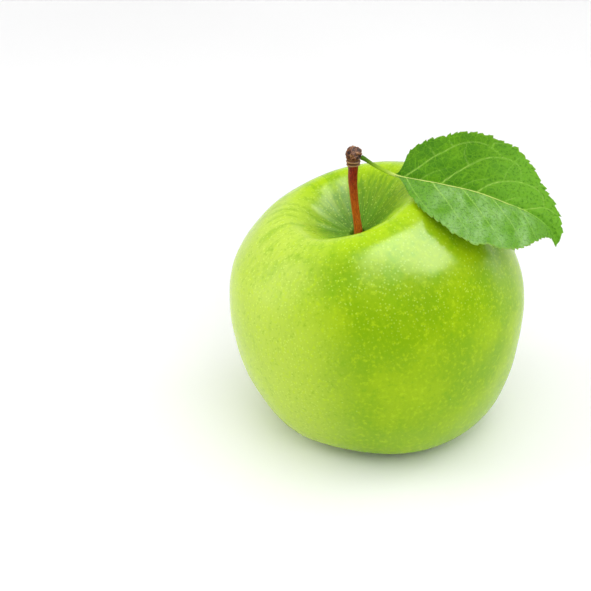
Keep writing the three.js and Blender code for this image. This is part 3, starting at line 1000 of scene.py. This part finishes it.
def make_stamens():
    rng = np.random.default_rng(7)
    points, faces, along_all = [], [], []
    start = 0
    for index in range(STAMEN_COUNT):
        turn = index * GOLDEN_ANGLE
        ring = STAMEN_RING * math.sqrt((index + 0.5) / STAMEN_COUNT)
        foot = np.array([ring * math.cos(turn), ring * math.sin(turn), STAMEN_TOP])
        lean = rng.uniform(-0.45, 0.45, 2)
        reach = rng.uniform(2.0, 3.1)
        t = np.linspace(0, 1, 14)[:, None]
        bend = np.array([lean[0], lean[1], 0]) * np.sin(t * 2.4)
        line = foot + bend - UP * reach * t
        head = np.exp(-(((t[:, 0] - 0.92) / 0.07) ** 2))
        grid, _, along = tube(line, 0.10 + 0.16 * head, 8, (0, 1, 0.01), 2)
        part, part_faces = closed_rings(grid)
        points.append(part)
        faces += [tuple(start + v for v in face) for face in part_faces]
        along_all.append(closed_values(along))
        start += len(part)
    cloud = np.vstack(points) + BASIN_MIDDLE
    make_piece(
        "apple_dried_stamens", cloud, faces, stamen_material(), ["dried_stamens"],
        {"along": np.concatenate(along_all)},
    )


# ---- Stage ----

WORLD_BEFORE = 0.3  # how bright the surround is on the viewer's side
WORLD_BEHIND = 0.95
WHITE = (1, 1, 1, 1)
FLOOR_REACH = 3.0


def make_floor():
    n = Nodes("studio_floor")
    soft = n.noise(n.position(), 6, 2)
    n.set(Base_Color=n.mix(n.ramp(soft, 0.3, 0.7), (0.86, 0.86, 0.86), (0.89, 0.89, 0.89)))
    n.set(Roughness=0.45, Specular_IOR_Level=0.3)
    mesh = bpy.data.meshes.new("studio_floor")
    sides = ((-1, -1), (1, -1), (1, 1), (-1, 1))
    corners = [(x * FLOOR_REACH, y * FLOOR_REACH, 0) for x, y in sides]
    mesh.from_pydata(corners, [], [(0, 1, 2, 3)])
    mesh.materials.append(n.material)
    floor = bpy.data.objects.new("studio_floor", mesh)
    bpy.context.scene.collection.objects.link(floor)


def add_softbox(name, place, aim, level, size, power):
    """A rectangular light. level is the direction that its first side lies along."""
    light = bpy.data.lights.new(name, "AREA")
    light.shape = "RECTANGLE"
    light.size, light.size_y = size
    light.energy = power
    lamp = bpy.data.objects.new(name, light)
    bpy.context.scene.collection.objects.link(lamp)
    back = (Vector(place) - Vector(aim)).normalized()
    first = (Vector(level) - back * back.dot(Vector(level))).normalized()
    turn = Matrix((first, back.cross(first), back)).transposed().to_4x4()
    lamp.matrix_world = Matrix.Translation(place) @ turn
    return lamp


def make_lights():
    """A white surround, dimmer on the viewer's side, with softboxes above and panels round it."""
    world = bpy.data.worlds.new("studio")
    world.use_nodes = True
    tree = world.node_tree
    background = tree.nodes["Background"]
    direction = tree.nodes.new("ShaderNodeTexCoord").outputs["Generated"]
    split = tree.nodes.new("ShaderNodeSeparateXYZ")
    tree.links.new(direction, split.inputs[0])
    fade = tree.nodes.new("ShaderNodeMapRange")
    fade.interpolation_type = "SMOOTHSTEP"
    fade.inputs["From Min"].default_value = -0.45
    fade.inputs["From Max"].default_value = 0.35
    fade.inputs["To Min"].default_value = WORLD_BEFORE
    fade.inputs["To Max"].default_value = WORLD_BEHIND
    tree.links.new(split.outputs["Y"], fade.inputs["Value"])
    tree.links.new(fade.outputs["Result"], background.inputs["Strength"])
    background.inputs["Color"].default_value = WHITE
    bpy.context.scene.world = world
    across, along = (1, 0, 0), (0, 1, 0)
    middle = (0.02, -0.02, 0.05)
    main = add_softbox("overhead_softbox", (0.12, -0.26, 0.60), middle, across, (0.8, 0.6), 2.3)
    main.visible_glossy = False
    sheen = add_softbox("overhead_sheen", (0.18, -0.11, 0.62), middle, across, (0.72, 0.48), 25.0)
    sheen.visible_diffuse = False
    add_softbox("left_panel", (-0.75, 0.02, 0.32), (0, 0, 0.05), along, (0.5, 0.6), 2.6)
    add_softbox("right_panel", (0.66, 0.28, 0.25), (0, 0, 0.05), along, (0.26, 0.5), 1.1)
    fill = add_softbox("front_fill", (0.22, -0.86, 0.62), (0, 0, 0.03), across, (1.2, 0.8), 3.4)
    fill.visible_glossy = False


# ---- Camera ----

LENS = 110.0
SENSOR = 36.0
CAMERA_DISTANCE = 484.8
CAMERA_ELEVATION = math.radians(31)
CAMERA_LOOKS_AT = (0, 0, 33.6)  # on the fruit's own axis
VIEW_LEFT = 21.99  # the camera stands this far left of that, so the fruit is right of the middle
VIEW_UP = 1.85  # and this far up


def make_camera():
    cosine, sine = math.cos(CAMERA_ELEVATION), math.sin(CAMERA_ELEVATION)
    back = Vector((0, -cosine, sine))
    right = Vector((1, 0, 0))
    up = back.cross(right)
    aim = Vector(CAMERA_LOOKS_AT) + Vector(OFFSET)
    place = (aim + back * CAMERA_DISTANCE - right * VIEW_LEFT + up * VIEW_UP) * MM
    data = bpy.data.cameras.new("camera")
    data.lens = LENS
    data.sensor_width = SENSOR
    data.clip_start = 0.01
    camera = bpy.data.objects.new("camera", data)
    bpy.context.scene.collection.objects.link(camera)
    turn = Matrix((right, up, back)).transposed().to_4x4()
    camera.matrix_world = Matrix.Translation(place) @ turn
    bpy.context.scene.camera = camera


make_camera()
make_floor()
make_lights()
make_fruit()
make_stem()
make_spur_stub()
make_leaf()
sepal_look = sepal_material()
for number in range(SEPAL_COUNT):
    make_sepal(number, sepal_look)
make_stamens()
bpy.context.scene.view_settings.view_transform = "Standard"
